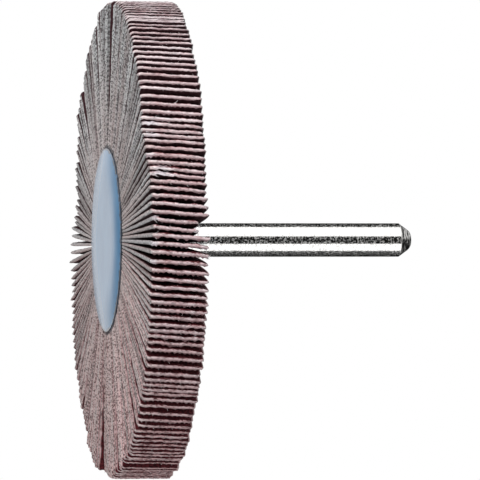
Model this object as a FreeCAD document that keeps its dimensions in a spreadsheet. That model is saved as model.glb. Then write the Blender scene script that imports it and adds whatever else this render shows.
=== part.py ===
# Mounted flap wheel: a steel spindle, a core of cast resin round its end and a
# full ring of abrasive cloth flaps whose roots are bonded to the core.
# The wheel stands on its front face with the spindle straight up. The origin is
# the middle of that face, and +Z runs along the axis of rotation.
import FreeCAD, Part
import math
import os

import Sketcher

doc = FreeCAD.newDocument("flap_wheel")

# Driving sizes, in millimetres and degrees
SIZES = {
    # The ring of flaps
    "wheel_diameter": 85,  # over the flap tips
    "flap_width": 11,  # along the axis, between the two lips of the core
    "flap_count": 192,
    "flaps_per_pack": 4,  # neighbouring flaps kept together as one pack
    "root_thickness": 0.47,  # cloth pressed thin where the ring is bonded
    "tip_thickness": 0.66,  # cloth at its free end
    "tip_bevel": 1,  # worn front corner of each free end
    "flap_skew": 4,  # turn of each flap about its own radial middle line
    "root_room": 1.014,  # root circle over the flaps laid side by side
    "bond_line": 0.05,  # resin film between a flap root and the core
    "lean_share": 0.76,  # part of the gap at the rim that a flap may lean into
    # The resin core
    "lip_reach": 1.7,  # how far the core laps over the flap roots
    "front_height": 0.5,  # front of the core, proud of the flap sides
    "front_flat_diameter": 22,  # flat middle of the front face
    "front_edge": 0.15,  # upright edge left round the rounded shoulder
    "rear_height": 0.6,  # back of the core, proud of the flap sides
    "rear_edge_round": 0.3,  # rounding of the back edge
    "collar_height": 1.2,  # cone of resin round the spindle at the back
    "collar_foot_diameter": 11,
    "collar_top_diameter": 8.4,
    # The spindle
    "shank_diameter": 6,  # held in the collet
    "shank_length": 44.2,  # beyond the sides of the flaps
    "tang_diameter": 5,  # turned down inside the core
    "front_web": 2.3,  # resin left in front of the tang
    "tang_bevel": 0.4,  # on the end of the tang
    "groove_depth": 0.4,  # two ring grooves that stop the tang drawing out
    "groove_width": 1.1,
    "groove_pitch": 2.2,
    "first_groove": 4.5,  # from the end of the tang
    "flat_depth": 0.5,  # two flats that stop the tang turning
    "flat_length": 3,  # from the end of the tang
    "taper_length": 1.6,  # long taper of the free end
    "taper_diameter": 3.7,  # where the taper meets the rounding
    "nose_length": 0.55,  # rounding of the free end
    "nose_diameter": 2.2,  # flat at the very end
    "nose_fullness": 0.07,  # height of the rounding over its chord
}
sizes = doc.addObject("Spreadsheet::Sheet", "sizes")
for row, (alias, size) in enumerate(SIZES.items(), 1):
    sizes.set(f"A{row}", alias)
    sizes.set(f"B{row}", str(size))
    sizes.setAlias(f"B{row}", alias)
doc.recompute()

# Places that several pieces share, each worked out from the sizes
root_radius = (
    "(sizes.flap_count * sizes.root_thickness * sizes.root_room"
    " / (2 * pi * cos(sizes.flap_skew)))"
)
lip_radius = f"({root_radius} + sizes.lip_reach)"
shank_radius = "(sizes.shank_diameter / 2)"
tang_radius = "(sizes.tang_diameter / 2)"
flaps_bottom = "sizes.front_height"
flaps_top = "(sizes.front_height + sizes.flap_width)"
core_top = f"({flaps_top} + sizes.rear_height)"
collar_top = f"({core_top} + sizes.collar_height)"
tang_end = "sizes.front_web"
spindle_top = f"({flaps_top} + sizes.shank_length)"


def value(expression):
    """The number that an expression on the sizes gives."""
    return float(sizes.evalExpression(expression))


def outline(sketch, corners):
    """Draws a closed outline and binds each corner to its two expressions.

    A corner is (x, y), or (x, y, radius, bulge) where the edge that leaves it is
    an arc. The bulge is the arc's height over its chord, to the left if positive.
    """
    points = [FreeCAD.Vector(value(c[0]), value(c[1]), 0) for c in corners]
    for i, corner in enumerate(corners):
        start, end = points[i], points[(i + 1) % len(points)]
        if len(corner) == 2:
            sketch.addGeometry(Part.LineSegment(start, end))
            continue
        chord = end - start
        left = FreeCAD.Vector(-chord.y, chord.x, 0).normalize()
        middle = (start + end) * 0.5 + left * value(corner[3])
        sketch.addGeometry(Part.Arc(start, middle, end))
    start_of, end_of = [], []
    for i, corner in enumerate(corners):
        shape = sketch.Geometry[i]
        at_start = (shape.StartPoint - points[i]).Length < 1e-6
        start_of.append(1 if at_start else 2)
        end_of.append(2 if at_start else 1)
    for i, corner in enumerate(corners):
        before = i - 1 if i else len(corners) - 1
        sketch.addConstraint(Sketcher.Constraint("Coincident", before, end_of[before], i, start_of[i]))
    for i, corner in enumerate(corners):
        for kind, place, expression in (
            ("DistanceX", points[i].x, corner[0]),
            ("DistanceY", points[i].y, corner[1]),
        ):
            if expression == "0":
                on_axis = -2 if kind == "DistanceX" else -1
                sketch.addConstraint(Sketcher.Constraint("PointOnObject", i, start_of[i], on_axis))
                continue
            n = sketch.addConstraint(Sketcher.Constraint(kind, -1, 1, i, start_of[i], place))
            sketch.setExpression(f"Constraints[{n}]", expression)
        if len(corner) == 4:
            n = sketch.addConstraint(Sketcher.Constraint("Radius", i, value(corner[2])))
            sketch.setExpression(f"Constraints[{n}]", corner[2])


def new_sketch(body, name, plane, height="0"):
    """A sketch of the body on one of its origin planes, raised by an expression."""
    sketch = body.newObject("Sketcher::SketchObject", name)
    base = next(f for f in body.Origin.OriginFeatures if f.Role == plane)
    sketch.AttachmentSupport = [(base, "")]
    sketch.MapMode = "FlatFace"
    if height != "0":
        sketch.setExpression("AttachmentOffset.Base.z", height)
    doc.recompute()
    return sketch


def turned(body, name, corners):
    """A full turn about Z of an outline given as radius and height."""
    sketch = new_sketch(body, name + "_outline", "XZ_Plane")
    outline(sketch, corners)
    revolution = body.newObject("PartDesign::Revolution", name)
    revolution.Profile = sketch
    revolution.ReferenceAxis = (sketch, ["V_Axis"])
    revolution.Angle = 360
    sketch.Visibility = False
    body.Tip = revolution
    doc.recompute()
    return revolution


# Spindle: ground steel rod. Its free end is tapered and rounded to enter a
# collet. Its shoulder seats on the collar of the core, and the thinner tang below
# it has two ring grooves and two flats that key it in the resin.
spindle = doc.addObject("PartDesign::Body", "spindle")
groove_floor = f"({tang_radius} - sizes.groove_depth)"
ring_grooves = []
for groove in range(2):
    low = f"{tang_end} + sizes.first_groove + {groove} * sizes.groove_pitch - sizes.groove_width / 2"
    high = f"{low} + sizes.groove_width"
    ring_grooves += [
        (tang_radius, low),
        (groove_floor, low),
        (groove_floor, high),
        (tang_radius, high),
    ]
nose_start = f"({spindle_top} - sizes.nose_length)"
nose_step = "((sizes.taper_diameter - sizes.nose_diameter) / 2)"
nose_chord = f"sqrt({nose_step} ^ 2 + sizes.nose_length ^ 2)"
nose_bulge = f"(sizes.nose_fullness * {nose_chord})"
nose_round = f"(({nose_chord} ^ 2 / 4 + {nose_bulge} ^ 2) / (2 * {nose_bulge}))"
turned(
    spindle,
    "spindle_turning",
    [
        ("0", tang_end),
        (f"{tang_radius} - sizes.tang_bevel", tang_end),
        (tang_radius, f"{tang_end} + sizes.tang_bevel"),
        *ring_grooves,
        (tang_radius, collar_top),
        (shank_radius, collar_top),
        (shank_radius, f"{nose_start} - sizes.taper_length"),
        ("sizes.taper_diameter / 2", nose_start, nose_round, f"-{nose_bulge}"),
        ("sizes.nose_diameter / 2", spindle_top),
        ("0", spindle_top),
    ],
)
rod_volume = spindle.Shape.Volume
flats = new_sketch(spindle, "tang_flats_outline", "XY_Plane", tang_end)
flat_side = f"({tang_radius} - sizes.flat_depth)"
outline(
    flats,
    [
        (flat_side, f"-{tang_radius}"),
        (shank_radius, f"-{tang_radius}"),
        (shank_radius, tang_radius),
        (flat_side, tang_radius),
    ],
)
one_flat = spindle.newObject("PartDesign::Pocket", "tang_flat")
one_flat.Profile = flats
one_flat.Reversed = True
one_flat.setExpression("Length", "sizes.flat_length")
spindle.Tip = one_flat
doc.recompute()
both_flats = spindle.newObject("PartDesign::PolarPattern", "tang_flats")
both_flats.Originals = [one_flat]
both_flats.Axis = (flats, ["N_Axis"])
both_flats.Angle = 360
both_flats.Occurrences = 2
spindle.Tip = both_flats
doc.recompute()
if not spindle.Shape.Volume < rod_volume:
    raise SystemExit("the flats of the tang cut nothing")

# Core: blue casting resin poured round the spindle and the flap roots, so it is
# a spool whose lips lap over the roots. Its front is flat with a rounded
# shoulder, and its back has a small cone round the spindle.
core_mould = doc.addObject("PartDesign::Body", "core_mould")
shoulder_step = f"({lip_radius} - sizes.front_flat_diameter / 2)"
shoulder_drop = "(sizes.front_height - sizes.front_edge)"
shoulder_round = f"(({shoulder_step} ^ 2 + {shoulder_drop} ^ 2) / (2 * {shoulder_drop}))"
shoulder_chord = f"sqrt({shoulder_step} ^ 2 + {shoulder_drop} ^ 2)"
shoulder_bulge = f"({shoulder_round} - sqrt({shoulder_round} ^ 2 - {shoulder_chord} ^ 2 / 4))"
rear_round = "sizes.rear_edge_round"
turned(
    core_mould,
    "core_turning",
    [
        ("0", "0"),
        ("sizes.front_flat_diameter / 2", "0", shoulder_round, f"-{shoulder_bulge}"),
        (lip_radius, shoulder_drop),
        (lip_radius, flaps_bottom),
        (root_radius, flaps_bottom),
        (root_radius, flaps_top),
        (lip_radius, flaps_top),
        (
            lip_radius,
            f"{core_top} - {rear_round}",
            rear_round,
            f"-{rear_round} * (1 - sqrt(0.5))",
        ),
        (f"{lip_radius} - {rear_round}", core_top),
        ("sizes.collar_foot_diameter / 2", core_top),
        ("sizes.collar_top_diameter / 2", collar_top),
        ("0", collar_top),
    ],
)
resin_core = doc.addObject("Part::Cut", "resin_core")
resin_core.Base = core_mould
resin_core.Tool = spindle

# Flap: a strip of coated abrasive cloth, wedge-shaped along its length and
# sheared across its width, so that both side edges lie flat against the lips.
# The front corner of its free end is worn off.
flap_outline = doc.addObject("Sketcher::SketchObject", "flap_outline")
flap_root = f"({root_radius} + sizes.bond_line)"
flap_tip = "(sizes.wheel_diameter / 2)"
half_root = "(sizes.root_thickness / 2 / cos(sizes.flap_skew))"
half_tip = "(sizes.tip_thickness / 2 / cos(sizes.flap_skew))"
side_shift = "(sizes.flap_width / 2 * tan(sizes.flap_skew))"
outline(
    flap_outline,
    [
        (flap_root, f"-{half_root}"),
        (flap_tip, f"-{half_tip}"),
        (flap_tip, half_tip),
        (flap_root, half_root),
    ],
)
flap_outline.setExpression("Placement.Base.y", f"-{side_shift}")
flap_outline.setExpression("Placement.Base.z", flaps_bottom)
flap_strip = doc.addObject("Part::Extrusion", "flap_strip")
flap_strip.Base = flap_outline
flap_strip.DirMode = "Custom"
flap_strip.setExpression("Dir.x", "0")
flap_strip.setExpression("Dir.y", "tan(sizes.flap_skew)")
flap_strip.setExpression("Dir.z", "1")
flap_strip.setExpression("LengthFwd", "sizes.flap_width / cos(sizes.flap_skew)")
flap_strip.Solid = True
worn_outline = doc.addObject("Sketcher::SketchObject", "worn_corner_outline")
outline(
    worn_outline,
    [
        (f"{flap_tip} - sizes.tip_bevel", flaps_bottom),
        (f"{flap_tip} + sizes.tip_bevel", f"{flaps_bottom} - sizes.tip_bevel"),
        (flap_tip, f"{flaps_bottom} + sizes.tip_bevel"),
    ],
)
worn_outline.Placement = FreeCAD.Placement(FreeCAD.Vector(), FreeCAD.Rotation(FreeCAD.Vector(1, 0, 0), 90))
worn_corner = doc.addObject("Part::Extrusion", "worn_corner")
worn_corner.Base = worn_outline
worn_corner.DirMode = "Normal"
worn_corner.Symmetric = True
worn_corner.Solid = True
worn_corner.setExpression("LengthFwd", f"4 * ({side_shift} + {half_tip})")
flap_cut = doc.addObject("Part::Cut", "flap_cut")
flap_cut.Base = flap_strip
flap_cut.Tool = worn_corner
doc.recompute()
if not flap_cut.Shape.Volume < flap_strip.Shape.Volume:
    raise SystemExit("the worn corner cuts nothing")

# Flap packs: the flaps stand all round the core. Each leans a little about its
# root, more or less than its neighbours, as the springy cloth has set, so they
# bunch and open along the rim. None leans further than the gap there allows.
flap_count = round(value("sizes.flap_count"))
flaps_per_pack = round(value("sizes.flaps_per_pack"))
pitch_angle = 360 / flap_count
rim_gap = math.pi * value("sizes.wheel_diameter") / flap_count - 2 * value(half_tip)
flap_length = value(f"{flap_tip} - {flap_root}")
largest_step = math.degrees(rim_gap / flap_length) * value("sizes.lean_share")

# Waves round the ring: how many, how strong, and where each starts in degrees
LEAN_WAVES = [(2, 1.37, 6), (7, 0.82, 194), (8, 0.62, 34), (17, 0.32, 345), (20, 0.25, 82), (27, 0.2, 131)]


def wave_sum(flap):
    """How far a flap leans, before it is scaled to the gap at the rim."""
    turn = 2 * math.pi * flap / flap_count
    return sum(s * math.sin(n * turn + math.radians(start)) for n, s, start in LEAN_WAVES)


closest_step = max(wave_sum(i) - wave_sum(i + 1) for i in range(flap_count))
root_line = FreeCAD.Vector(value(flap_root), 0, 0)
axis = FreeCAD.Vector(0, 0, 1)
packs = []
for first in range(0, flap_count, flaps_per_pack):
    flaps = []
    for flap in range(first, min(first + flaps_per_pack, flap_count)):
        lean = largest_step * wave_sum(flap) / closest_step
        strip = flap_cut.Shape.copy()
        strip.rotate(root_line, axis, lean)
        strip.rotate(FreeCAD.Vector(), axis, flap * pitch_angle)
        flaps.append(strip)
    pack = doc.addObject("Part::Feature", f"flap_pack_{len(packs) + 1:02d}")
    pack.Shape = Part.makeCompound(flaps)
    pack.Placement = FreeCAD.Placement()
    packs.append(pack)
doc.recompute()

# Every object has to be sound, and every piece a set of whole solids
for made in doc.Objects:
    if {"Invalid", "Error"} & set(made.State):
        raise SystemExit(f"{made.Name} failed: {made.State}")
pieces = [spindle, resin_core, *packs]
for piece in pieces:
    shape = piece.Shape
    if shape.isNull() or not shape.isValid() or not shape.Solids:
        raise SystemExit(f"{piece.Label} is not a sound solid")

# One file for each piece, named by its label
os.makedirs("parts", exist_ok=True)
for piece in pieces:
    piece.Shape.exportStep(f"parts/{piece.Label}.step")
print(f"{len(pieces)} pieces, {flap_count} flaps, flap root radius {value(root_radius):.3f} mm")
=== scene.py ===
import math

import bmesh
import bpy
import numpy as np
from mathutils import Matrix, Vector


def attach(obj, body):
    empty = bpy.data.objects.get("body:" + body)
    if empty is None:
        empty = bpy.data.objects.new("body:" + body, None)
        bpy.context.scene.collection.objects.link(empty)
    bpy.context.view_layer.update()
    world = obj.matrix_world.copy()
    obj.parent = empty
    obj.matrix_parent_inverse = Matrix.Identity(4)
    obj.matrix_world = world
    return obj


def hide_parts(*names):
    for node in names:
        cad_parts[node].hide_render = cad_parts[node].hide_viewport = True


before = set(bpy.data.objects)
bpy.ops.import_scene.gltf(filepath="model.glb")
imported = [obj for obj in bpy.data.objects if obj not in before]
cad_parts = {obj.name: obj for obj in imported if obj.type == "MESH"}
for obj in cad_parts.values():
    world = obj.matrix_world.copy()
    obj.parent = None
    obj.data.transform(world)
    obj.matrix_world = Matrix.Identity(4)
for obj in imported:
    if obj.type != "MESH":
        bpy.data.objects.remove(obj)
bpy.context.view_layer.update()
MM = 0.001

# Flaps: strips of coated abrasive cloth, a cotton weave with a maroon coat of
# grit on one face. They were guillotined, stacked side by side all round and
# bonded at the root, so their cut edges make up both the rim and the front.
WEAVE = 0.92  # mm from one thread to the next
TOOTH = 0.4  # mm that thread ends stand out on the cloth side of some flaps
LENGTH_LOSS = 0.5  # mm that the shortest flaps have worn down
SHORT_OF_SOLID = 0.05  # mm that even the longest flap ends before its CAD solid
GRIT_STANDS = 0.04  # mm by which grains stand out of the coat at the cut end
FRAY_DEPTH = 0.45  # mm from the cut end over which its teeth and grit die away
END_ROUNDING = 0.16  # mm that the faces stay behind the middle of the cut end
END_ROUGHNESS = 0.05  # mm
REAR_CORNER = 0.3  # mm, radius of a rear corner where the rear edge isn't set back
POINTED_LOSS = 0.8  # share of the thickness that the most pointed front corners lose
POINTED_REACH = (2.2, 1.6)  # mm along the flap and across its width
FRAYED_LOSS = 0.75  # share of the thickness that every rear corner loses
FRAYED_REACH = (1.5, 0.6)  # mm along the flap and across its width
COLUMNS = 48  # steps across the width, between the rounded side edges
SIDE_STEPS = [0.0, 0.04, 0.09, 0.16]  # mm in from a side edge
SIDE_THICKNESS = [0.5, 0.8, 0.95, 1.0]  # share of the thickness at each step
ROWS = [0.0, 4.0, 8.0, 11.0, 13.5, 16.0, 18.0, 20.0, 21.8, 23.4, 24.8, 25.9, 26.7, 27.3]  # mm from the root
TIP_STEPS = [0.1, 0.28, 0.5, 0.72, 0.9]  # share of the way across the cut end
COAT, CLOTH, CUT = 0, 1, 2  # material slots of a flap
random = np.random.default_rng(7)


def linear(hex_colour):
    """The linear RGBA of an sRGB hex colour."""
    parts = [int(hex_colour[i : i + 2], 16) / 255 for i in (1, 3, 5)]
    return [p / 12.92 if p <= 0.04045 else ((p + 0.055) / 1.055) ** 2.4 for p in parts] + [1.0]


def add(tree, kind, inputs=None, stops=(), **settings):
    """Adds a node with its settings, its ramp's stops, and what its inputs take."""
    node = tree.nodes.new("ShaderNode" + kind)
    for name, setting in settings.items():
        setattr(node, name, setting)
    for i, (place, colour) in enumerate(stops):
        marks = node.color_ramp.elements
        mark = marks[i] if i < 2 else marks.new(place)
        mark.position = place
        mark.color = linear(colour)
    for name, source in (inputs or {}).items():
        named = [s for s in node.inputs if s.name == name and s.enabled]
        socket = node.inputs[name] if isinstance(name, int) else named[0]
        if isinstance(source, bpy.types.Node):
            source = [s for s in source.outputs if s.enabled][0]
        if isinstance(source, bpy.types.NodeSocket):
            tree.links.new(source, socket)
        else:
            socket.default_value = source
    return node


def mixed(tree, factor, first, second, **settings):
    """One colour turned into another by the factor; each is hex or comes from a node."""
    first, second = (linear(c) if isinstance(c, str) else c for c in (first, second))
    return add(tree, "Mix", {"Factor": factor, "A": first, "B": second}, data_type="RGBA", **settings)


def ranged(tree, source, given, wanted=(0.0, 1.0)):
    """A value brought from the given range into the wanted one, and held there."""
    ends = {"From Min": given[0], "From Max": given[1], "To Min": wanted[0], "To Max": wanted[1]}
    return add(tree, "MapRange", {"Value": source, **ends})


def noise(tree, place, scale, detail=2.0, roughness=0.5, own_pattern=None):
    """A noise over the place, or one of many such, told apart by own_pattern."""
    inputs = {"Vector": place, "Scale": scale, "Detail": detail, "Roughness": roughness}
    if own_pattern is None:
        return add(tree, "TexNoise", inputs).outputs[0]
    return add(tree, "TexNoise", {**inputs, "W": own_pattern}, noise_dimensions="4D").outputs[0]


def new_material(name):
    """A material with no nodes yet, and its node tree."""
    material = bpy.data.materials.new(name)
    material.use_nodes = True
    material.node_tree.nodes.clear()
    return material, material.node_tree


def flap_frames(node):
    """Place of each flap of a CAD node: root, along, shear, across, and sizes."""
    solid = bmesh.new()
    solid.from_mesh(node.data)
    bmesh.ops.remove_doubles(solid, verts=solid.verts, dist=1e-6)
    left = set(solid.verts)
    found = []
    while left:
        island = {left.pop()}
        edge_of_it = list(island)
        while edge_of_it:
            vertex = edge_of_it.pop()
            for edge in vertex.link_edges:
                other = edge.other_vert(vertex)
                if other not in island:
                    island.add(other)
                    edge_of_it.append(other)
        left -= island
        by_radius = sorted((v.co / MM for v in island), key=lambda c: c.xy.length)
        by_height = sorted(by_radius, key=lambda c: c.z)
        roots = sorted(by_radius[:4], key=lambda c: c.z)
        tips = sorted(by_height[-4:], key=lambda c: c.xy.length)[2:]
        root_front = (roots[0] + roots[1]) / 2
        root_rear = (roots[2] + roots[3]) / 2
        tip_rear = (tips[0] + tips[1]) / 2
        along = (tip_rear - root_rear).normalized()
        found.append(
            {
                "root": root_front,
                "along": along,
                "across": Vector((0, 0, 1)).cross(along),
                "shear": root_rear - root_front,
                "length": (tip_rear - root_rear).length,
                "half_root": (roots[0] - roots[1]).length / 2,
                "half_tip": (tips[0] - tips[1]).length / 2,
            }
        )
    solid.free()

    def turn_of(flap):
        middle = flap["root"] + flap["shear"] / 2
        return (math.atan2(middle.y, middle.x) + 0.01) % (2 * math.pi)

    return sorted(found, key=turn_of)


packs = sorted(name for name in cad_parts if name.startswith("flap_pack_"))
flaps = {name: flap_frames(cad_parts[name]) for name in packs}
ring = [flap for name in packs for flap in flaps[name]]
FLAP_WIDTH = ring[0]["shear"].z
FLAP_LENGTH = ring[0]["length"]
for flap, following in zip(ring, ring[1:] + ring[:1]):
    tip = flap["root"] + flap["along"] * flap["length"]
    next_tip = following["root"] + following["along"] * following["length"]
    flap["room"] = (next_tip - tip).length - 2 * flap["half_tip"]
    flap["clock"] = math.degrees(math.atan2(-tip.y, -tip.x)) % 360

# How the ring has worn, by the clock: 0 is up in the photograph, 90 the side
# towards it. The two shifts are in mm at the free end, plus towards the rear.
FRONT_SHIFT = {
    0: 0.4, 40: 0.35, 55: 0.2, 62: 0.0, 67: 0.2, 78: 0.5, 90: 0.85, 105: 0.7, 118: 0.65, 127: 0.75,
    140: 0.7, 148: 0.35, 158: 0.1, 172: -0.1, 173: 0.3, 191: 0.7, 193: -0.43, 210: -0.42, 233: -0.25,
    249: -0.4, 262: -0.12, 270: 0.3, 278: 0.9, 290: 0.45, 308: 0.3, 330: 0.4, 345: 0.3, 360: 0.4,
}
REAR_SHIFT = {
    0: 0.0, 40: 0.05, 55: 0.13, 68: -0.12, 77.7: -0.5, 79.5: -0.34, 84.2: -0.23, 85.0: -1.9, 87.0: -2.0,
    88.4: 0.1, 92.6: -0.07, 98: 0.0, 111: -0.25, 127: -0.12, 150: -0.38, 190: -0.1, 360: 0.0,
}
# Radius in mm to which the front corners are worn, and the share of the wear
# that has also made them thin, which shows on the far side.
FRONT_CORNER = {
    0: 1.0, 40: 0.85, 65: 0.55, 115: 0.55, 130: 0.8, 150: 0.95, 170: 0.8, 188: 0.3, 220: 0.6, 360: 1.0,
}
POINTED = {0: 0.0, 225: 0.0, 245: 1.0, 292: 1.0, 325: 0.2, 360: 0.0}
# Shares of the usual shortening and leaning, and how far thread ends stand out.
SHORTENED = {170: 1.0, 180: 0.1, 200: 0.1, 215: 1.0}
LEANING = {0: 0.5, 60: 0.6, 100: 0.5, 150: 0.7, 250: 1.0, 275: 2.2, 300: 1.5, 340: 1.0, 360: 0.5}
TOOTHED = {0: -0.5, 80: 0.2, 105: 0.9, 150: 0.85, 170: 0.1, 360: 0.0}
# Share of dirt and painted shade: the ring is painted darker and dustier towards
# the bottom, where less light falls, and paler at the top, where it is lit.
GRIME_AND_SHADE = {0: 0.0, 25: 0.12, 50: 0.18, 90: 0.28, 125: 0.45, 150: 0.8, 180: 1.0, 215: 0.9, 270: 0.3, 360: 0.0}
# Ends that have been knocked: clock, middle across the width, half width and
# bulge in mm, and how far the knock has bleached the cloth.
CRUMPLED = [
    (62, 1.6, 1.6, -0.2, 0.9),
    (64, 1.4, 1.2, 0.15, 0.6),
    (73, 2.6, 1.6, -0.32, 0.7),
    (75, 2.4, 1.9, -0.28, 0.9),
    (70, 0.8, 0.9, 0.2, 0.7),
    (85, 0.6, 0.7, -0.15, 0.9),
    (90, 0.6, 0.8, 0.15, 1.0),
    (94, 0.6, 0.8, 0.1, 1.0),
]
# Side edges that stand in from the others: by how many mm, and how often.
SIDE_INSETS = (0.0, 0.09, 0.15)
INSET_ODDS = (0.76, 0.14, 0.1)
USUAL_WEAR = 0.4  # share of LENGTH_LOSS
FRONT_LIMITS = (-0.44, 1.6)  # mm, so that no flap comes past the core's front face
REAR_LIMITS = (-0.3, 0.25)  # mm of lean


def bunched(spread, single, shortest, longest):
    """A random value for each flap that neighbours in a bunch nearly share."""
    values = []
    while len(values) < len(ring):
        level = random.normal(0, spread)
        values += [level + random.normal(0, single) for _ in range(random.integers(shortest, longest))]
    return np.array(values[: len(ring)])


def by_clock(table):
    """The value that a table gives at each flap."""
    return np.interp(clock, list(table), list(table.values()))


clock = np.array([flap["clock"] for flap in ring])
wear = np.clip(USUAL_WEAR + bunched(0.35, 0.15, 2, 8), 0, 1) * by_clock(SHORTENED)
lean = bunched(0.2, 0.1, 3, 9) * by_clock(LEANING)
front_shift = np.clip(by_clock(FRONT_SHIFT) + lean, *FRONT_LIMITS)
rear_shift = by_clock(REAR_SHIFT) + np.clip(lean, *REAR_LIMITS)
front_corner = by_clock(FRONT_CORNER)
pointed = by_clock(POINTED)
crumpled = {int(np.argmin(np.abs(clock - knock[0]))): knock[1:] for knock in CRUMPLED}
side_inset = np.abs(bunched(0.06, 0.06, 2, 6)) + random.choice(SIDE_INSETS, len(ring), p=INSET_ODDS)
# Each flap's share of dirt and painted shade, by the clock and in bunches.
grime_and_shade = np.clip(by_clock(GRIME_AND_SHADE) + bunched(0.08, 0.08, 1, 4), 0, 1)
toothed = bunched(0.5, 0.25, 1, 4) + by_clock(TOOTHED)


def wander(places, period, size):
    """A smooth random line along the places, with about that period and size."""
    line = np.zeros(len(places))
    for stretch in (0.63, 1.0, 1.71):
        line += np.sin(2 * np.pi * (places / (period * stretch) + random.random())) * random.uniform(0.4, 1.0)
    return line * size / 1.5


def strip_columns():
    """Places across the width, from front to rear, and the thickness left there."""
    side = np.array(SIDE_STEPS)
    middle = np.linspace(side[-1], FLAP_WIDTH - side[-1], COLUMNS + 1)[1:-1]
    places = np.concatenate([side, middle, (FLAP_WIDTH - side)[::-1]])
    thickness = np.concatenate([SIDE_THICKNESS, np.ones(len(middle)), SIDE_THICKNESS[::-1]])
    return places, thickness


def thinned(share, reach, from_end, from_side):
    """The share of the thickness left at a corner that has lost the given share."""
    return 1 - share * np.exp(-from_end / reach[0] - from_side / reach[1])


def flap_points(flap, number):
    """Points of one worn flap as (column, step round it, xyz), its measures, and its share of dirt and
    painted shade.
    """
    places, thickness = strip_columns()
    from_rear = FLAP_WIDTH - places
    end = flap["length"] - SHORT_OF_SOLID - LENGTH_LOSS * wear[number]
    end = end - np.abs(wander(places, 3.1, 0.07)) - np.abs(wander(places, 0.8, 0.03))
    worn_rear = REAR_CORNER - 0.9 * min(0, rear_shift[number])
    for corner, inset in (
        (front_corner[number] * random.uniform(0.75, 1.25), places),
        (worn_rear * random.uniform(0.6, 1.3), from_rear),
    ):
        in_corner = np.clip(corner - inset, 0, None)
        end -= corner - np.sqrt(corner**2 - in_corner**2)
    sway = wander(places, 7.0, min(0.11, 0.3 * flap["room"]))
    sway = sway + wander(places, 1.8, min(0.05, 0.15 * flap["room"]))
    knocked_at, half_width, bulge, bleach = crumpled.get(number, (0, 1, 0, 0))
    knock = np.exp(-(((places - knocked_at) / half_width) ** 2))
    sway += bulge * knock * (1 + 0.2 * np.sin(places * 4))
    # The flap's share of dirt and painted shade, less where a knock bleached the cloth.
    dirt_and_shade = grime_and_shade[number] - bleach * knock
    pitch = WEAVE * random.choice((1.0, 1.0, 2.0))
    threads = places / pitch + random.random() + wander(places, 4.0, 0.12)
    teeth = (1 - np.abs(np.sin(np.pi * threads))) ** 1.3
    teeth = teeth * random.uniform(0.6, 1.0, len(places)) * np.clip(toothed[number], 0.2, 1)
    teeth *= min(TOOTH, 0.8 * flap["room"])
    grit = GRIT_STANDS * random.random(len(places))
    bulk = min(random.uniform(0.02, 0.22), 0.25 * flap["room"] / flap["half_tip"])

    steps = []
    rows = np.array(ROWS + [flap["length"]]) / flap["length"]
    for row in rows:
        a = end * row
        half = (1 + bulk * row) * (flap["half_root"] + (flap["half_tip"] - flap["half_root"]) * row)
        half = half * thinned(POINTED_LOSS * pointed[number], POINTED_REACH, end - a, places)
        half = half * thinned(FRAYED_LOSS, FRAYED_REACH, end - a, from_rear)
        near_end = np.exp(-(end - a) / FRAY_DEPTH)
        middle = sway * row**2
        if row == rows[-1]:
            a = a - 0.08
        coat = middle - (half - (grit + 0.03) * near_end) * thickness
        cloth = middle + (half - 0.05 * near_end + teeth * near_end) * thickness
        steps.append((a, coat, cloth))
    coat_end = steps[-1][1]
    cloth_end = steps[-1][2]
    rough = END_ROUGHNESS * random.random((len(TIP_STEPS), len(places)))
    cut_end = [
        (end + 0.04 - rough[i] - END_ROUNDING * (2 * t - 1) ** 2, coat_end + (cloth_end - coat_end) * t)
        for i, t in enumerate(TIP_STEPS)
    ]
    loop = [(a, coat) for a, coat, cloth in steps] + cut_end + [(a, cloth) for a, coat, cloth in steps[::-1]]
    along = np.stack([a for a, w in loop], axis=1)
    across = np.stack([w for a, w in loop], axis=1)
    widths = np.repeat(places[:, None], along.shape[1], axis=1)
    own = np.stack([along, widths, across], axis=2)

    reach = np.clip(along / flap["length"], 0, 1)
    to_front = 1 - widths / FLAP_WIDTH
    off_root = np.clip(along / 5, 0, 1)
    ragged = random.uniform(-0.06, 0.06, along.shape[1])
    shift = reach**1.3 * (front_shift[number] * to_front + rear_shift[number] * (1 - to_front))
    shift += off_root * to_front * (side_inset[number] + ragged[None, :] * to_front**5)
    points = (
        np.array(flap["root"])
        + along[..., None] * np.array(flap["along"])
        + across[..., None] * np.array(flap["across"])
        + widths[..., None] / FLAP_WIDTH * np.array(flap["shear"])
        + shift[..., None] * np.array((0.0, 0.0, 1.0))
    )
    return points, own, np.repeat(dirt_and_shade, along.shape[1])


def strip_faces(columns, around):
    """Faces of one flap and the face of the cloth that each belongs to."""
    walls = len(ROWS)
    rounded = len(SIDE_STEPS) - 1
    faces = []
    kinds = []
    for c in range(columns - 1):
        for i in range(around - 1):
            faces.append([c * around + i, c * around + i + 1, (c + 1) * around + i + 1, (c + 1) * around + i])
            at_side = c < rounded or c >= columns - 1 - rounded
            if at_side or walls <= i < around - 1 - walls:
                kinds.append(CUT)
            else:
                kinds.append(COAT if i < walls else CLOTH)
        faces.append([c * around + around - 1, c * around, (c + 1) * around, (c + 1) * around + around - 1])
        kinds.append(CUT)
    for first, flip in ((0, True), ((columns - 1) * around, False)):
        caps = [[i, i + 1, around - 2 - i, around - 1 - i] for i in range(walls)]
        caps.append(list(range(walls, around - walls)))
        for cap in caps:
            face = [first + i for i in cap]
            faces.append(face[::-1] if flip else face)
            kinds.append(CUT)
    return faces, kinds


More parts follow.
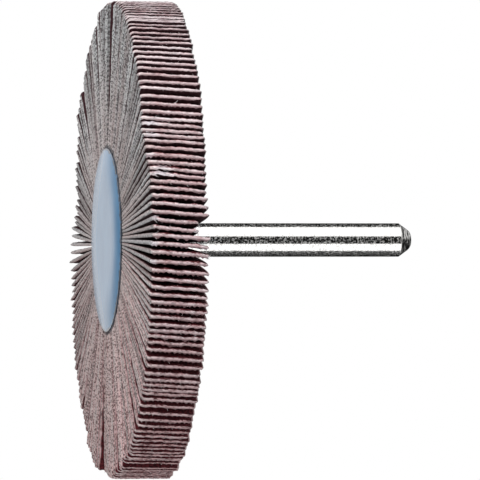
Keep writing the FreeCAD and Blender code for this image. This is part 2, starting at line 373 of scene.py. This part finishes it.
def fibre_points(start, heading, bend, length, thickness):
    """Points of a thin tapered thread end that curls from its start."""
    side = heading.cross(bend).normalized()
    rings = []
    for share in (0.0, 0.35, 0.7, 1.0):
        centre = start + heading * length * share + bend * length * 0.5 * share**2
        radius = thickness / 2 * (1 - 0.6 * share)
        for corner in range(3):
            turn = 2 * math.pi * corner / 3
            rings.append(centre + (bend * math.cos(turn) + side * math.sin(turn)) * radius)
    return rings


FIBRE_FACES = [[2, 1, 0], [9, 10, 11]]
for ring_start in (0, 3, 6):
    for c, following in ((0, 1), (1, 2), (2, 0)):
        lower = [ring_start + c, ring_start + following]
        FIBRE_FACES.append(lower + [ring_start + 3 + following, ring_start + 3 + c])

# Cotton cloth, guillotined across its threads: matt, pale and furry, speckled
# with the dark glue and grit between the thread ends, which the eye reads as
# dotted lines on the front and as soft streaks along the rim.
cut_edge, tree = new_material("Cut edge of bonded cotton cloth")
# strip holds each point's mm along the flap, across its width and through it;
# the third attribute is each point's share of dirt and painted shade, and below
# zero the cloth is bleached.
own = add(tree, "Attribute", attribute_name="strip").outputs["Vector"]
flap_number = add(tree, "Attribute", attribute_name="flap").outputs["Fac"]
along, width, across = add(tree, "SeparateXYZ", {"Vector": own}).outputs
dirt_and_shade = add(tree, "Attribute", attribute_name="grime_and_shade").outputs["Fac"]
half_number = add(tree, "Math", {0: flap_number, 1: 0.5}, operation="MULTIPLY")
pair = add(tree, "Math", {0: half_number}, operation="FLOOR")
chances = add(tree, "TexWhiteNoise", {"W": pair}, noise_dimensions="1D").outputs["Color"]
chance, dotted, shade = add(tree, "SeparateXYZ", {"Vector": chances}).outputs
own_place = add(tree, "Math", {0: chance, 1: 900.0}, operation="MULTIPLY")
to_rear = add(tree, "Math", {0: FLAP_WIDTH, 1: width}, operation="SUBTRACT")
from_side = add(tree, "Math", {0: width, 1: to_rear}, operation="MINIMUM")
on_side = ranged(tree, from_side, (0.4, 0.1))
stretched = add(tree, "VectorMath", {0: own, 1: (2.8, 1.4, 4.5)}, operation="MULTIPLY")
grain = noise(tree, stretched, 1.0, 3.0, 0.7, own_place)
specks = ranged(tree, grain, (0.4, 0.52))
turns = 2 * math.pi / WEAVE
own_pitch = ranged(tree, dotted, (0.0, 1.0), (0.8 * turns, 1.15 * turns))
thread_start = add(tree, "Math", {0: grain, 1: 7.0, 2: own_place}, operation="MULTIPLY_ADD")
thread_turn = add(tree, "Math", {0: along, 1: own_pitch, 2: thread_start}, operation="MULTIPLY_ADD")
thread_wave = add(tree, "Math", {0: thread_turn}, operation="SINE")
threads = ranged(tree, thread_wave, (-0.7, 0.2))
thread_depth = ranged(tree, dotted, (0.56, 0.74))
some_threads = add(tree, "Mix", {"Factor": thread_depth, "A": 1.0, "B": threads})
knots = add(tree, "VectorMath", {0: own, 1: (3.1, 1.4, 1.8)}, operation="MULTIPLY")
knot = noise(tree, knots, 1.0, 1.0, own_pattern=flap_number)
knotted = ranged(tree, knot, (0.4, 0.52))
side_light = add(tree, "Math", {0: knotted, 1: some_threads}, operation="MULTIPLY")
light_part = add(tree, "Mix", {"Factor": on_side, "A": specks, "B": side_light})
patch_place = add(tree, "VectorMath", {0: own, "Scale": 0.4}, operation="SCALE")
patches = noise(tree, patch_place, 1.0, own_pattern=own_place)
patches = ranged(tree, patches, (0.38, 0.62))
rim_tone = mixed(tree, patches, "#F2ECF0", "#DAC6CA")
# Painted light: flaps with the least share, at the top, are painted near white as if lit from above.
painted_top_light = ranged(tree, dirt_and_shade, (0.13, 0.02), (0.0, 0.75))
rim_tone = mixed(tree, painted_top_light, rim_tone, "#FFFBFF")
# Dust and painted shade: the rim is painted pinker and darker towards the bottom.
dust_and_shade = add(tree, "Math", {0: dirt_and_shade, 1: 0.75}, operation="MULTIPLY")
rim_tone = mixed(tree, dust_and_shade, rim_tone, "#BC9293")
bleached = ranged(tree, dirt_and_shade, (0.0, -0.8), (0.0, 0.75))
# Painted highlight: each cut end is painted paler near its front corner.
painted_front_highlight = ranged(tree, width, (2.6, 0.6), (0.0, 0.6))
rim_tone = mixed(tree, painted_front_highlight, rim_tone, "#F6F0F0")
side_tone = mixed(tree, shade, "#DEE1E1", "#989B9B")
# The front face is painted pinker towards the core, and pinker and duller towards the bottom as dust and
# painted shade.
near_core = ranged(tree, along, (22.0, 5.0), (0.0, 0.4))
pink_share = add(tree, "Math", {0: dirt_and_shade, 1: near_core}, operation="ADD")
pink_dust_and_shade = ranged(tree, pink_share, (0.0, 0.6), (0.0, 0.6))
side_tone = mixed(tree, pink_dust_and_shade, side_tone, "#CEB7B3")
thickness_place = ranged(tree, across, (-0.38, 0.36))
uneven_layers = add(tree, "Math", {0: grain, 1: 0.9, 2: thickness_place}, operation="MULTIPLY_ADD")
uneven_layers = add(tree, "Math", {0: uneven_layers, 1: 0.45}, operation="SUBTRACT")
# Across each cut end: the maroon coat layer at one side, a painted highlight in the middle, and painted shade
# darkening the cloth side.
rim_layers_and_shade = add(
    tree,
    "ValToRGB",
    {"Fac": uneven_layers},
    stops=[
        (0.0, "#520D13"),
        (1.0, "#7E696B"),
        (0.08, "#7A3F45"),
        (0.18, "#E2CCCB"),
        (0.42, "#EDE9E8"),
        (0.7, "#D3C7C6"),
    ],
)
side_layers = add(
    tree,
    "ValToRGB",
    {"Fac": thickness_place},
    stops=[(0.0, "#F0D6D6"), (1.0, "#CFD1D3"), (0.5, "#E9E4E4")],
)
rim_colour = mixed(tree, 1.0, rim_tone, rim_layers_and_shade, blend_type="MULTIPLY")
side_colour = mixed(tree, 1.0, side_tone, side_layers, blend_type="MULTIPLY")
pale = mixed(tree, on_side, rim_colour, side_colour)
pale = mixed(tree, bleached, pale, "#D2CDD4")
dark_part = add(tree, "Math", {0: 1.0, 1: light_part}, operation="SUBTRACT")
# The dark specks grow and turn redder towards the bottom, as dirt and painted shade.
rim_dark = ranged(tree, dirt_and_shade, (0.0, 1.0), (0.42, 0.85))
side_dark = ranged(tree, dirt_and_shade, (0.0, 1.0), (0.88, 0.9))
dark_share = add(tree, "Mix", {"Factor": on_side, "A": rim_dark, "B": side_dark})
dark_colour = mixed(tree, dirt_and_shade, "#2B2627", "#3B1B1D")
darkness = add(tree, "Math", {0: dark_part, 1: dark_share}, operation="MULTIPLY")
cloth_colour = mixed(tree, darkness, pale, dark_colour)
# Painted shadow where the flaps meet the core's lip, partly glue: a dark ragged line near the root.
glue_and_shadow_reach = add(tree, "Math", {0: grain, 1: 2.2, 2: along}, operation="MULTIPLY_ADD")
glue_and_shadow = ranged(tree, glue_and_shadow_reach, (3.35, 3.05), (0.0, 0.85))
cloth_colour = mixed(tree, glue_and_shadow, cloth_colour, "#26252E")
furry = add(tree, "Bump", {"Height": light_part, "Strength": 0.5, "Distance": 0.07 * MM})
surface = add(
    tree,
    "BsdfPrincipled",
    {
        "Base Color": cloth_colour,
        "Roughness": 0.9,
        "Normal": furry,
        "IOR": 1.45,
        "Specular IOR Level": 0.2,
        "Sheen Weight": 0.2,
        "Sheen Roughness": 0.5,
    },
)
add(tree, "OutputMaterial", {"Surface": surface})


def wall_material(name, colours, worn_side, grain_size, roughness):
    """A face of the flaps, with its grain and the pale line worn along its edges."""
    base, grain_colour, worn_colour = colours
    material, tree = new_material(name)
    own = add(tree, "Attribute", attribute_name="strip").outputs["Vector"]
    flap_number = add(tree, "Attribute", attribute_name="flap").outputs["Fac"]
    along, width = add(tree, "SeparateXYZ", {"Vector": own}).outputs[:2]
    grain = noise(tree, own, 1 / grain_size, 3.0, 0.7, flap_number)
    wide = noise(tree, own, 0.6, own_pattern=flap_number)
    grains = ranged(tree, grain, (0.42, 0.66))
    plain = mixed(tree, grains, base, grain_colour)
    to_rear = add(tree, "Math", {0: FLAP_WIDTH, 1: width}, operation="SUBTRACT")
    to_end = add(tree, "Math", {0: FLAP_LENGTH, 1: along}, operation="SUBTRACT")
    from_side = add(tree, "Math", {0: width, 1: to_rear}, operation="MINIMUM")
    side_share = add(tree, "Math", {0: from_side, 1: 0.24 / worn_side}, operation="MULTIPLY")
    from_edge = add(tree, "Math", {0: side_share, 1: to_end}, operation="MINIMUM")
    uneven_edge = add(tree, "Math", {0: wide, 1: 0.4, 2: from_edge}, operation="MULTIPLY_ADD")
    worn = ranged(tree, uneven_edge, (0.42, 0.24), (0.0, 0.9))
    colour = mixed(tree, worn, plain, worn_colour)
    rough_face = add(tree, "Bump", {"Height": grain, "Strength": 0.7, "Distance": 0.08 * MM})
    surface = add(
        tree,
        "BsdfPrincipled",
        {"Base Color": colour, "Roughness": roughness, "Normal": rough_face, "Specular IOR Level": 0.3},
    )
    add(tree, "OutputMaterial", {"Surface": surface})
    return material


# Aluminium oxide grit of about 0.2 mm, drawn at 0.3 mm so that it shows, laid in
# maroon resin: a dry, sandy face that is deep red where light gets between flaps.
# Its base and grain are darker than the coat's own, as painted shade for the
# deep gaps between flaps.
shade_darkened_maroons = ("#2A070A", "#62232A", "#E6C3C4")
grit_coat = wall_material("Maroon aluminium oxide grit in resin", shade_darkened_maroons, 0.42, 0.3, 0.8)
# Cotton cloth, dyed and filled with glue: a dull dark face that shows its weave.
# Its base and grain are darker than the cloth's own, as painted shade for the
# gaps between flaps.
shade_darkened_browns = ("#281115", "#43292D", "#ACA6A7")
cloth_back = wall_material("Dyed back of cotton cloth", shade_darkened_browns, 0.25, WEAVE / 3, 0.9)

# Ends of cut or pulled thread stand out of the edges, and a few flaps are frayed:
# clock, from and to across the width in mm, how many threads
FRAYED = [
    (61, 0.2, 2.4, 8),
    (63, 0.3, 2.0, 5),
    (73, 0.4, 3.6, 8),
    (75, 0.3, 3.2, 8),
    (56, 5.0, 6.5, 4),
    (81, 9.0, 10.5, 6),
    (87, 9.3, 10.6, 8),
    (90, 8.5, 10.6, 10),
    (92, 9.8, 10.6, 5),
    (89, 0.2, 1.0, 6),
    (85, 0.2, 0.9, 5),
]
USUAL_THREADS = 8  # short ends of thread on every flap
USUAL_REACH = (0.12, 0.38)  # mm
USUAL_THICKNESS = (0.05, 0.09)  # mm
LOOSE_REACH = (0.3, 0.9)  # mm, on the frayed flaps
LOOSE_THICKNESS = (0.12, 0.2)  # mm
LOOSE_DIRT = -0.5
frayed = {}
for at, first, last, threads in FRAYED:
    nearest = int(np.argmin(np.abs(clock - at)))
    frayed.setdefault(nearest, []).append((first, last, threads))

number = 0
for name in packs:
    points = []
    measures = []
    flap_numbers = []
    dirt_and_shade_shares = []
    faces = []
    kinds = []
    for flap in flaps[name]:
        grid, own, dirt_and_shade = flap_points(flap, number)
        columns, around = grid.shape[:2]
        strip, strip_kinds = strip_faces(columns, around)
        start = len(points)
        faces += [[start + i for i in face] for face in strip]
        kinds += strip_kinds
        points += grid.reshape(-1, 3).tolist()
        measures += own.reshape(-1, 3).tolist()
        flap_numbers += [number] * (columns * around)
        dirt_and_shade_shares += dirt_and_shade.tolist()
        along, across = flap["along"], flap["across"]
        threads = [(random.uniform(0.1, FLAP_WIDTH - 0.1), False) for _ in range(USUAL_THREADS)]
        for first, last, count in frayed.get(number, []):
            threads += [(random.uniform(first, last), True) for _ in range(count)]
        for at, loose in threads:
            column = int(np.argmin(np.abs(own[:, 0, 1] - at)))
            step = int(random.integers(len(ROWS), around - len(ROWS)))
            foot = Vector(grid[column, step]) - along * 0.05
            sideways = random.choice((-1, 1))
            if loose:
                heading = along * random.uniform(0.05, 0.3) + across * random.uniform(-0.4, 0.5)
                heading = (heading + Vector((0, 0, 1))).normalized()
                bend = across * random.choice((-1, 1)) - along * random.uniform(0.0, 0.6)
                reach = random.uniform(*LOOSE_REACH)
                thickness = random.uniform(*LOOSE_THICKNESS)
            else:
                heading = (along * random.uniform(0.1, 0.7) + across * random.uniform(-0.8, 1.0)).normalized()
                bend = Vector((0, 0, sideways)) + across * random.uniform(-0.6, 0.6)
                reach = random.uniform(*USUAL_REACH)
                thickness = random.uniform(*USUAL_THICKNESS)
            bend = (bend - heading * bend.dot(heading)).normalized()
            fibre = fibre_points(foot, heading, bend, reach, thickness)
            first = len(points)
            points += [list(v) for v in fibre]
            measures += [[random.uniform(0, FLAP_LENGTH), 0.8, 0.0]] * len(fibre)
            flap_numbers += [number] * len(fibre)
            dirt_and_shade_shares += [LOOSE_DIRT if loose else 0.0] * len(fibre)
            faces += [[first + i for i in face] for face in FIBRE_FACES]
            kinds += [CUT] * len(FIBRE_FACES)
        number += 1
    mesh = bpy.data.meshes.new(name + "_cloth")
    mesh.from_pydata((np.array(points) * MM).tolist(), [], faces)
    mesh.attributes.new("strip", "FLOAT_VECTOR", "POINT").data.foreach_set("vector", np.ravel(measures))
    mesh.attributes.new("flap", "FLOAT", "POINT").data.foreach_set("value", np.array(flap_numbers, float))
    mesh.attributes.new("grime_and_shade", "FLOAT", "POINT").data.foreach_set("value", np.array(dirt_and_shade_shares, float))
    for material in (grit_coat, cloth_back, cut_edge):
        mesh.materials.append(material)
    mesh.polygons.foreach_set("material_index", kinds)
    mesh.shade_smooth()
    mesh.set_sharp_from_angle(angle=math.radians(50))
    pack = bpy.data.objects.new(name + "_cloth", mesh)
    bpy.context.scene.collection.objects.link(pack)
    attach(pack, "root")
    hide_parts(name)


# Core: blue two-part casting resin, poured round the spindle and the flap roots.
# It set in a smooth mould, so its front is glossy with a rounded shoulder.
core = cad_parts["resin_core"]
LIP_SHADOW_AND_DUST = (16.75, 17.0)  # mm from the axis, through a ragged noise
SUNK_RING = (8.0, 16.0)  # mm from the axis
# Cast epoxy, filled with pigment: glossy, so at this low angle it mirrors the
# white studio over its own blue. It sank a little as it set, which tips its face
# towards the edge. A thin dark line at its lip is painted shadow of the joint
# with the flaps, partly dust and glue.
resin, tree = new_material("Cast epoxy resin")
where = add(tree, "TexCoord").outputs["Object"]
flat_place = add(tree, "VectorMath", {0: where, 1: (1 / MM, 1 / MM, 0.0)}, operation="MULTIPLY")
radius = add(tree, "VectorMath", {0: flat_place}, operation="LENGTH").outputs["Value"]
cloud = noise(tree, where, 1 / (6 * MM), 2.0)
clouds = ranged(tree, cloud, (0.35, 0.65))
colour = mixed(tree, clouds, "#4D7BA1", "#5986AB")
crumb = noise(tree, where, 1 / (0.8 * MM), 3.0)
ragged_radius = add(tree, "Math", {0: crumb, 1: 1.8, 2: radius}, operation="MULTIPLY_ADD")
# Painted shadow of the joint with the flaps, partly dust and glue: a dark ragged ring at the lip.
lip_shadow_and_dust = ranged(tree, ragged_radius, LIP_SHADOW_AND_DUST, (0.0, 0.85))
colour = mixed(tree, lip_shadow_and_dust, colour, "#2B2A30")
past_middle = ranged(tree, radius, SUNK_RING, (0.0, 10.0))
sunk = add(tree, "Math", {0: past_middle, 1: past_middle}, operation="MULTIPLY")
sunk = add(tree, "Math", {0: sunk, 1: -0.0065}, operation="MULTIPLY")
tipped = add(tree, "Bump", {"Height": sunk, "Strength": 1.0, "Distance": MM})
ripple = noise(tree, where, 1 / (2.5 * MM), 2.0)
ripples = add(tree, "Bump", {"Height": ripple, "Strength": 0.15, "Distance": 0.05 * MM, "Normal": tipped})
surface = add(
    tree, "BsdfPrincipled", {"Base Color": colour, "Roughness": 0.2, "Normal": ripples, "IOR": 1.52}
)
add(tree, "OutputMaterial", {"Surface": surface})
core.data.materials.clear()
core.data.materials.append(resin)


# Spindle: silver steel rod, centreless ground all round and turned at the end,
# held in the core by its grooved tang.
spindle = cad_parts["spindle"]
EDGE_START = (53.35 * MM, 53.5 * MM)  # up the axis
TURNED_START = (53.6 * MM, 53.7 * MM)
# Ground steel: bright as a mirror along the rod, with fine marks round it and
# dull pits of about 0.1 mm, drawn twice as coarse, that glint in its dark bands.
# The turned end is greyer and shows rings, past an edge that is rubbed dull.
steel, tree = new_material("Centreless ground silver steel")
where = add(tree, "TexCoord").outputs["Object"]
marks = add(tree, "VectorMath", {0: where, 1: (40.0, 40.0, 6000.0)}, operation="MULTIPLY")
lines = noise(tree, marks, 1.0, 3.0)
pit = noise(tree, where, 1 / (0.24 * MM), 2.0)
bright = ranged(tree, lines, (0.3, 0.6))
colour = mixed(tree, bright, "#F8F7F5", "#FDFCFA")
rough = ranged(tree, pit, (0.46, 0.62), (0.05, 0.5))
height = add(tree, "SeparateXYZ", {"Vector": where}).outputs["Z"]
turned = ranged(tree, height, TURNED_START)
ring_marks = add(tree, "VectorMath", {0: where, 1: (900.0, 900.0, 3200.0)}, operation="MULTIPLY")
ring_mark = noise(tree, ring_marks, 1.0, 2.0)
grooved = ranged(tree, ring_mark, (0.42, 0.58))
smeared = add(tree, "Math", {0: turned, 1: grooved}, operation="MULTIPLY")
colour = mixed(tree, smeared, colour, "#3C3C3B")
edge = ranged(tree, height, EDGE_START)
edge_width = add(tree, "Math", {0: edge, 1: turned}, operation="SUBTRACT")
rough = add(tree, "Mix", {"Factor": edge_width, "A": rough, "B": 0.4})
ground = add(tree, "Bump", {"Height": lines, "Strength": 0.1, "Distance": 0.01 * MM})
surface = add(
    tree, "BsdfPrincipled", {"Base Color": colour, "Metallic": 1.0, "Roughness": rough, "Normal": ground}
)
add(tree, "OutputMaterial", {"Surface": surface})
spindle.data.materials.clear()
spindle.data.materials.append(steel)


# Floor: a pale studio table. Its top is opaque to the camera and it lets light
# through from below, because the photograph looks at the wheel's front face.
FLOOR_HALF = 1.5  # m from the middle to each side
FLOOR_TOP = -0.05 * MM
floor_mesh = bpy.data.meshes.new("floor")
corners = [(x * FLOOR_HALF, y * FLOOR_HALF, FLOOR_TOP) for x, y in ((-1, -1), (1, -1), (1, 1), (-1, 1))]
floor_mesh.from_pydata(corners, [], [[0, 1, 2, 3]])
floor = bpy.data.objects.new("floor", floor_mesh)
bpy.context.scene.collection.objects.link(floor)
paint, tree = new_material("Matt white table paint")
rays = add(tree, "LightPath")
underside = add(tree, "NewGeometry").outputs["Backfacing"]
topside = add(tree, "Math", {0: 1.0, 1: underside}, operation="SUBTRACT")
seen = add(tree, "Math", {0: rays.outputs["Is Camera Ray"], 1: topside}, operation="MULTIPLY")
matt = add(tree, "BsdfDiffuse", {"Color": linear("#EDEDEB")})
clear = add(tree, "BsdfTransparent")
either = add(tree, "MixShader", {0: seen, 1: clear, 2: matt})
add(tree, "OutputMaterial", {"Surface": either})
floor_mesh.materials.append(paint)


# Light: a white studio. The camera sees it plain white. Polished metal sees the
# same white with the dark gaps between the softboxes, and matt faces get an even
# light, stronger from the side that is up in the photograph.
MATT_LIGHT = 0.52
MIRRORED_LIGHT = 1.3
world = bpy.data.worlds.new("studio")
world.use_nodes = True
bpy.context.scene.world = world
tree = world.node_tree
tree.nodes.clear()
rays = add(tree, "LightPath")
towards = add(tree, "TexCoord").outputs["Generated"]
towards_x, towards_y, towards_z = add(tree, "SeparateXYZ", {"Vector": towards}).outputs
minus_x = add(tree, "Math", {0: towards_x, 1: -1.0}, operation="MULTIPLY")
minus_y = add(tree, "Math", {0: towards_y, 1: -1.0}, operation="MULTIPLY")
turn = add(tree, "Math", {0: minus_x, 1: minus_y}, operation="ARCTAN2")
share = ranged(tree, turn, (-math.pi, math.pi))
softboxes = add(
    tree,
    "ValToRGB",
    {"Fac": share},
    stops=[
        (0.0, "#0C0C0C"),
        (0.16, "#383838"),
        (0.275, "#FFFFFF"),
        (0.425, "#161616"),
        (0.567, "#FFFFFF"),
        (0.775, "#181818"),
    ],
)
softboxes.color_ramp.interpolation = "CONSTANT"
around_back = add(tree, "Math", {0: turn}, operation="ABSOLUTE")
behind = add(tree, "Math", {0: around_back, 1: math.radians(140)}, operation="GREATER_THAN")
low = add(tree, "Math", {0: towards_z, 1: 0.1}, operation="LESS_THAN")
at_card = add(tree, "Math", {0: behind, 1: low}, operation="MULTIPLY")
card_height = ranged(tree, towards_z, (-0.6, -0.25))
card = mixed(tree, card_height, "#636161", "#E0DEDD")
over_shank = ranged(tree, towards_z, (0.4, 0.6), (0.0, 0.88))
upward = ranged(tree, minus_x, (0.0, 0.25))
far_off = mixed(tree, upward, "#484848", "#B4B4B4")
all_round = mixed(tree, over_shank, softboxes, far_off)
mirrored_studio = mixed(tree, at_card, all_round, card)
glossy, through = rays.outputs["Is Glossy Ray"], rays.outputs["Is Transmission Ray"]
mirrored = add(tree, "Math", {0: glossy, 1: through}, operation="MAXIMUM")
even = add(tree, "Background", {"Color": linear("#FFFFFF"), "Strength": MATT_LIGHT})
banded = add(tree, "Background", {"Color": mirrored_studio, "Strength": MIRRORED_LIGHT})
white = add(tree, "Background", {"Color": linear("#FFFFFF"), "Strength": 1.0})
matt_or_metal = add(tree, "MixShader", {0: mirrored, 1: even, 2: banded})
camera_too = add(tree, "MixShader", {0: rays.outputs["Is Camera Ray"], 1: matt_or_metal, 2: white})
add(tree, "OutputWorld", {"Surface": camera_too})


def softbox(name, place, size, power):
    """A square area lamp that faces the wheel."""
    data = bpy.data.lights.new(name, "AREA")
    data.size = size
    data.energy = power
    lamp = bpy.data.objects.new(name, data)
    lamp.location = place
    lamp.rotation_mode = "QUATERNION"
    lamp.rotation_quaternion = (Vector((0, 0, 0.02)) - Vector(place)).to_track_quat("-Z", "Y")
    lamp.visible_glossy = False
    bpy.context.scene.collection.objects.link(lamp)


softbox("softbox_up", (-0.75, -0.4, -0.2), 0.6, 7.0)
softbox("softbox_camera", (0.25, -0.75, -0.3), 0.5, 2.6)
softbox("softbox_over", (0.1, 0.3, 0.8), 0.7, 2.0)


# Camera: level with the wheel and a little below its front face, turned so that
# the wheel's -X side is up. Found from the outline of the ring and the shank.
OFF_PLANE = math.radians(10.77)
DISTANCE = 0.85  # m
LENS = 357.4  # mm, over a sensor of 36 mm
AIM_HEIGHT = 20  # mm up the axis
AIM_ASIDE = 4.53  # mm to the camera's right
fwd = Vector((0, math.cos(OFF_PLANE), math.sin(OFF_PLANE)))
right = Vector((0, -math.sin(OFF_PLANE), math.cos(OFF_PLANE)))
up = Vector((-1, 0, 0))
aim = Vector((0, 0, AIM_HEIGHT * MM)) + right * AIM_ASIDE * MM
camera_data = bpy.data.cameras.new("camera")
camera_data.lens = LENS
camera_data.sensor_width = 36
camera = bpy.data.objects.new("camera", camera_data)
turned_to = Matrix((right, up, -fwd)).transposed().to_4x4()
camera.matrix_world = Matrix.Translation(aim - fwd * DISTANCE) @ turned_to
bpy.context.scene.collection.objects.link(camera)
bpy.context.scene.camera = camera
bpy.context.scene.view_settings.view_transform = "Standard"
